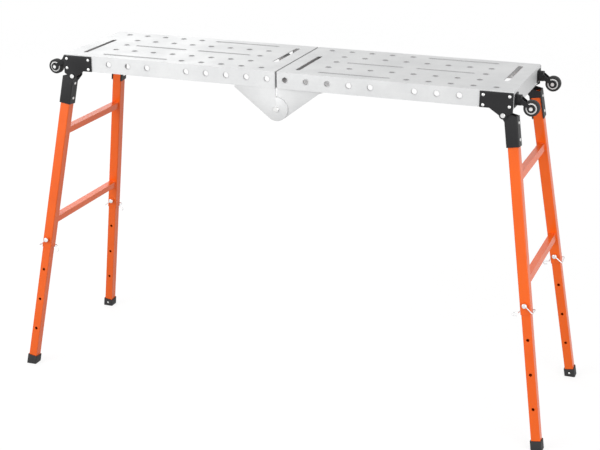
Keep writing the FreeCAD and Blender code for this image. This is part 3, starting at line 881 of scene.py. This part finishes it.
@dataclass
class LeafWelds:
    """Short weld runs that hold the centre hinge's leaves behind the aprons."""

    apron_inside: float = 0.174
    leaf_top: float = 0.964
    run_starts: tuple[float, ...] = (0.012, 0.054, 0.096)
    run_length: float = 0.022
    bead: float = 0.0019
    beads: int = 11
    sunk: float = 0.4
    raised: float = 0.3
    swell: float = 0.15
    ripple: float = 9.0

    def run(self) -> bmesh.types.BMesh:
        """One run of overlapping beads along X from the origin."""
        shape = bmesh.new()
        for k in range(self.beads):
            share = k / (self.beads - 1)
            swell = 1.0 + self.swell * math.sin(self.ripple * share)
            place = Matrix.Translation((share * self.run_length, 0.0, 0.0)) @ Matrix.Scale(swell, 4)
            bmesh.ops.create_icosphere(shape, subdivisions=2, radius=self.bead, matrix=place)
        return shape

    def dress(self, wardrobe: Wardrobe) -> None:
        """Add the weld runs of both halves.

        Args:
            wardrobe: Maker of the pieces.
        """
        run = self.run()
        for side in Side:
            shape = bmesh.new()
            flip = Matrix.Diagonal((side.value, 1, 1, 1))
            for row in Row:
                depth = row.value * (self.apron_inside - self.bead * self.sunk)
                height = self.leaf_top + self.bead * self.raised
                for start in self.run_starts:
                    add_copy(shape, run, flip @ Matrix.Translation((start, depth, height)))
            # these welds sit inside the pans, so the sheet's painted shade darkens them
            wardrobe.finish_piece(shape, f"{side.word}_leaf_welds", Slot.PANEL, f"{side.word}_half",
                                  smooth_angle=80.0)
        run.free()


@dataclass
class EasedEdges:
    """Copies of pressed, cast or moulded nodes with the slightly rounded edges of the real pieces."""

    nodes: dict[str, bpy.types.Object]
    widths: dict[str, tuple[float, Slot, str]] = field(default_factory=lambda: {
        "bracket": (0.0007, Slot.BRACKET, "{side}_half"),
        "leg_socket": (0.0006, Slot.BRACKET, "{side}_frame"),
        "foot": (0.0014, Slot.FOOT, "{side}_{row}_lower_leg"),
        # the hinge leaves sit behind the aprons, so the sheet's painted shade darkens them
        "hinge_leaf": (0.0007, Slot.PANEL, "{side}_half")})
    sharp: float = math.radians(50.0)
    flat: float = math.radians(1.0)
    merge: float = 2e-6
    segments: int = 2

    def eased(self, source: bpy.types.Object, width: float) -> bmesh.types.BMesh:
        """Rounded copy of a node's mesh.

        Args:
            source: The node's object.
            width: Width of the rounding.

        Returns:
            The copy.
        """
        shape = bmesh.new()
        shape.from_mesh(source.data)
        bmesh.ops.remove_doubles(shape, verts=shape.verts, dist=self.merge)
        bmesh.ops.dissolve_limit(shape, angle_limit=self.flat, verts=shape.verts, edges=shape.edges)
        edges = [edge for edge in shape.edges if len(edge.link_faces) == 2
                 and edge.calc_face_angle(0.0) > self.sharp and edge.calc_length() > 2 * width]
        bmesh.ops.bevel(shape, geom=edges, offset=width, offset_type="OFFSET", affect="EDGES",
                        segments=self.segments, profile=0.5, material=-1, clamp_overlap=True)
        bmesh.ops.triangulate(shape, faces=shape.faces)
        return shape

    def dress(self, wardrobe: Wardrobe) -> None:
        """Replace the chosen nodes at every corner.

        Args:
            wardrobe: Maker of the pieces.
        """
        for side, row, corner in corners():
            for kind, (width, slot, rides_on) in self.widths.items():
                node = f"{corner}_{kind}"
                shape = self.eased(self.nodes[node], width)
                body = rides_on.format(side=side.word, row=row.word)
                piece = wardrobe.finish_piece(shape, f"{node}_eased", slot, body, smooth_angle=35.0)
                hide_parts(node)


@dataclass
class CasterTyre:
    """Rounded tyre of a caster, with a moulded line each side of its tread."""

    reach: float = 0.724
    across: float = 0.147
    height: float = 0.9495
    rim: float = 0.015
    tread: float = 0.022
    half: float = 0.009
    line: Point = (0.0022, 0.0030, 0.0038)
    line_depth: float = 0.0007
    shoulder: tuple[float, float] = (0.0030, 0.0032)
    shoulder_steps: int = 5
    steps: int = 48

    def tyre(self) -> bmesh.types.BMesh:
        """One tyre turned round Z."""
        start, middle, end = (self.rim + reach for reach in self.line)
        wide, deep = self.shoulder
        turns = [k * math.pi / (2 * self.shoulder_steps) for k in range(self.shoulder_steps + 1)]
        profile = [(self.rim, self.half), (start, self.half), (middle, self.half - self.line_depth)]
        profile.append((end, self.half))
        profile += [(self.tread - wide + wide * math.sin(t), self.half - deep + deep * math.cos(t))
                    for t in turns]
        mirrored = [(radius, -y) for radius, y in reversed(profile)]
        return lathe([*profile, (self.tread, 0.0), *mirrored], self.steps, True)

    def spot(self, side: Side, row: Row) -> Matrix:
        """Middle of a wheel.

        Args:
            side: The half of the table.
            row: The long edge.

        Returns:
            The placing matrix.
        """
        return Matrix.Translation((side.value * self.reach, row.value * self.across, self.height))

    def dress(self, wardrobe: Wardrobe) -> None:
        """Replace the plain tyres.

        Args:
            wardrobe: Maker of the pieces.
        """
        tyre = self.tyre()
        for side, row, corner in corners():
            shape = bmesh.new()
            add_copy(shape, tyre, self.spot(side, row) @ Matrix.Rotation(math.pi / 2, 4, "X"))
            piece = wardrobe.finish_piece(shape, f"{corner}_round_tyre", Slot.TYRE, f"{corner}_wheel",
                                          smooth_angle=50.0)
            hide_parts(f"{corner}_wheel_tyre")
        tyre.free()


@dataclass
class ForkBosses:
    """Pressed round bosses on the caster forks, which leave a white ring of the hub in sight."""

    wheel: CasterTyre
    bore: float = 0.0034
    radius: float = 0.0112
    inside: float = 0.0101
    outside: float = 0.01265
    edge: float = 0.0006
    steps: int = 40

    def boss(self) -> bmesh.types.BMesh:
        """One boss turned round Z, standing off the wheel's middle."""
        profile = [(self.bore, self.inside), (self.radius - self.edge, self.inside),
                   (self.radius, self.inside + self.edge), (self.radius, self.outside - self.edge),
                   (self.radius - self.edge, self.outside), (self.bore, self.outside)]
        return lathe(profile, self.steps, True)

    def dress(self, wardrobe: Wardrobe) -> None:
        """Add the bosses of every caster.

        Args:
            wardrobe: Maker of the pieces.
        """
        boss = self.boss()
        for side, row, corner in corners():
            shape = bmesh.new()
            for cheek in (1, -1):
                stand = Matrix.Rotation(cheek * math.pi / 2, 4, "X")
                add_copy(shape, boss, self.wheel.spot(side, row) @ stand)
            wardrobe.finish_piece(shape, f"{corner}_fork_bosses", Slot.CASTER, f"{corner}_caster")
        boss.free()


@dataclass(frozen=True)
class Lamp:
    """One soft square lamp."""

    name: str
    place: Point
    aim: Point
    size: float
    power: float

    def hang(self) -> None:
        """Add the lamp to the scene, facing its aim."""
        data = bpy.data.lights.new(self.name, "AREA")
        data.size = self.size
        data.energy = self.power
        thing = bpy.data.objects.new(self.name, data)
        thing.location = self.place
        thing.rotation_euler = (Vector(self.aim) - Vector(self.place)).to_track_quat("-Z", "Y").to_euler()
        bpy.context.scene.collection.objects.link(thing)


@dataclass
class Studio:
    """Pale floor, soft lights and the photograph's camera."""

    camera_place: Point = (1.4147, -3.6672, 1.8753)
    yaw: float = math.radians(21.03)
    pitch: float = math.radians(19.54)
    roll: float = math.radians(0.18)
    lens: float = 82.0
    sensor: float = 36.0
    floor_size: float = 30.0
    floor_drop: float = 0.0005
    floor_fade: float = 6.0
    floor_colour: Colour = (0.18, 0.18, 0.18)
    floor_glow: Colour = (0.82, 0.82, 0.82)
    floor_rough: float = 0.9
    floor_edge: tuple[float, float] = (0.0, 0.6)
    far: float = 100.0
    world_light: float = 0.62
    world_seen: float = 1.0
    lamps: tuple[Lamp, ...] = (Lamp("key_lamp", (-2.4, -3.1, 2.4), (-0.2, 0.0, 0.7), 3.6, 92.0),
                               Lamp("fill_lamp", (3.3, -2.7, 1.5), (0.2, 0.0, 0.6), 3.2, 76.0),
                               Lamp("back_lamp", (-2.9, 3.4, 2.0), (-0.4, 0.0, 0.9), 2.4, 26.0))

    def camera(self) -> None:
        """Set the camera at the photograph's angle."""
        data = bpy.data.cameras.new("photo_camera")
        data.lens = self.lens
        data.sensor_width = self.sensor
        data.clip_end = self.far
        thing = bpy.data.objects.new("photo_camera", data)
        bpy.context.scene.collection.objects.link(thing)
        level = math.cos(self.pitch)
        forward = Vector((-math.sin(self.yaw) * level, math.cos(self.yaw) * level, -math.sin(self.pitch)))
        right = forward.cross(Vector((0, 0, 1))).normalized()
        down = forward.cross(right)
        turned_right = right * math.cos(self.roll) + down * math.sin(self.roll)
        turned_down = down * math.cos(self.roll) - right * math.sin(self.roll)
        axes = Matrix((turned_right, -turned_down, -forward)).transposed()
        thing.matrix_world = Matrix.Translation(self.camera_place) @ axes.to_4x4()
        bpy.context.scene.camera = thing

    def floor(self) -> None:
        """Lay the pale floor, which keeps a faint shadow, fades out all round and is clear from below."""
        shape = bmesh.new()
        bmesh.ops.create_grid(shape, x_segments=1, y_segments=1, size=self.floor_size / 2)
        mesh = bpy.data.meshes.new("studio_floor")
        shape.to_mesh(mesh)
        shape.free()
        graph = Graph("studio_floor")
        path = graph.node("ShaderNodeLightPath", {}, {})
        seen = Expr(graph, path.outputs["Is Camera Ray"]) + Expr(graph, path.outputs["Is Glossy Ray"])
        seen = seen + Expr(graph, path.outputs["Is Transmission Ray"])
        glow = graph.mix(seen.step(0.0, 1.0), (0.0, 0.0, 0.0), self.floor_glow)
        below = Expr(graph, graph.node("ShaderNodeNewGeometry", {}, {}).outputs["Backfacing"])
        spread = graph.stretched((1.0 / self.floor_fade,) * 3)
        near = graph.node("ShaderNodeTexGradient", {"gradient_type": "SPHERICAL"}, {"Vector": spread})
        shown = Expr(graph, near.outputs[0]).step(*self.floor_edge) * (1.0 - below)
        finish = graph.close(Base_Color=(*self.floor_colour, 1.0), Roughness=self.floor_rough,
                             Emission_Color=glow, Emission_Strength=1.0, Alpha=shown)
        mesh.materials.append(finish)
        floor = bpy.data.objects.new("studio_floor", mesh)
        floor.location.z = -self.floor_drop
        bpy.context.scene.collection.objects.link(floor)

    def world(self) -> None:
        """Surround the scene with plain light, white where the camera or a reflection sees it."""
        world = bpy.data.worlds.new("studio_world")
        world.use_nodes = True
        tree = world.node_tree
        tree.nodes.clear()
        path = tree.nodes.new("ShaderNodeLightPath")
        seen = tree.nodes.new("ShaderNodeMath")
        seen.operation = "MAXIMUM"
        tree.links.new(path.outputs["Is Camera Ray"], seen.inputs[0])
        tree.links.new(path.outputs["Is Glossy Ray"], seen.inputs[1])
        light = tree.nodes.new("ShaderNodeBackground")
        light.inputs["Color"].default_value = (1.0, 1.0, 1.0, 1.0)
        light.inputs["Strength"].default_value = self.world_light
        white = tree.nodes.new("ShaderNodeBackground")
        white.inputs["Color"].default_value = (1.0, 1.0, 1.0, 1.0)
        white.inputs["Strength"].default_value = self.world_seen
        mix = tree.nodes.new("ShaderNodeMixShader")
        tree.links.new(seen.outputs[0], mix.inputs[0])
        tree.links.new(light.outputs[0], mix.inputs[1])
        tree.links.new(white.outputs[0], mix.inputs[2])
        out = tree.nodes.new("ShaderNodeOutputWorld")
        tree.links.new(mix.outputs[0], out.inputs["Surface"])
        bpy.context.scene.world = world

    def build(self) -> None:
        """Set the whole stage."""
        self.camera()
        self.floor()
        self.world()
        for lamp in self.lamps:
            lamp.hang()
        bpy.context.scene.view_settings.view_transform = "Standard"


def main() -> None:
    """Load the frame, dress it and set the stage."""
    logging.basicConfig(level=logging.INFO, format="%(name)s: %(message)s")
    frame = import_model()
    Studio().build()
    wardrobe = Wardrobe()
    wardrobe.dress_nodes(frame["nodes"], frame["record"])
    legs = LegFrame()
    FixturePattern().dress(wardrobe)
    RivetHeads(legs).dress(wardrobe)
    RungWelds(legs).dress(wardrobe)
    FootRivets(legs).dress(wardrobe)
    LeafWelds().dress(wardrobe)
    EasedEdges(frame["nodes"]).dress(wardrobe)
    wheel = CasterTyre()
    wheel.dress(wardrobe)
    ForkBosses(wheel).dress(wardrobe)


if __name__ == "__main__":
    main()
